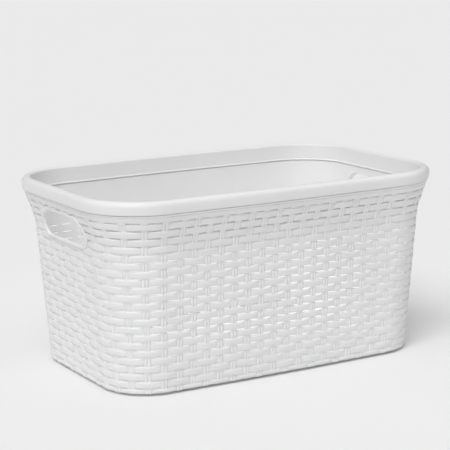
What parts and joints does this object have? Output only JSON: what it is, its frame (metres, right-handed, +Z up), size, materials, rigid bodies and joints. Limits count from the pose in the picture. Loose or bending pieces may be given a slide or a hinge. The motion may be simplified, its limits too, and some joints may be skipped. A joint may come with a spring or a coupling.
{
  "type": "laundry basket",
  "caption": "Open rectangular laundry basket in woven-look moulded plastic, with rounded corners, a flared top, a smooth rim and a hand hole in each end.",
  "frame": {"origin": "centre of the footprint, on the plane that the basket stands on", "axes": "+X along the long side, towards one hand hole; +Y along the short side; +Z up"},
  "size_m": [0.592, 0.3874, 0.29],
  "materials": {
    "body_plastic": "satin white polypropylene with a fine moulded grain",
    "rim_plastic": "smooth satin white polypropylene",
    "liner_plastic": "smooth satin white polypropylene"
  },
  "bodies": {
    "root": {"woven_body": "body_plastic", "rim_collar": "rim_plastic", "hand_hole_liner_left": "liner_plastic", "hand_hole_liner_right": "liner_plastic"}
  },
  "joints": []
}
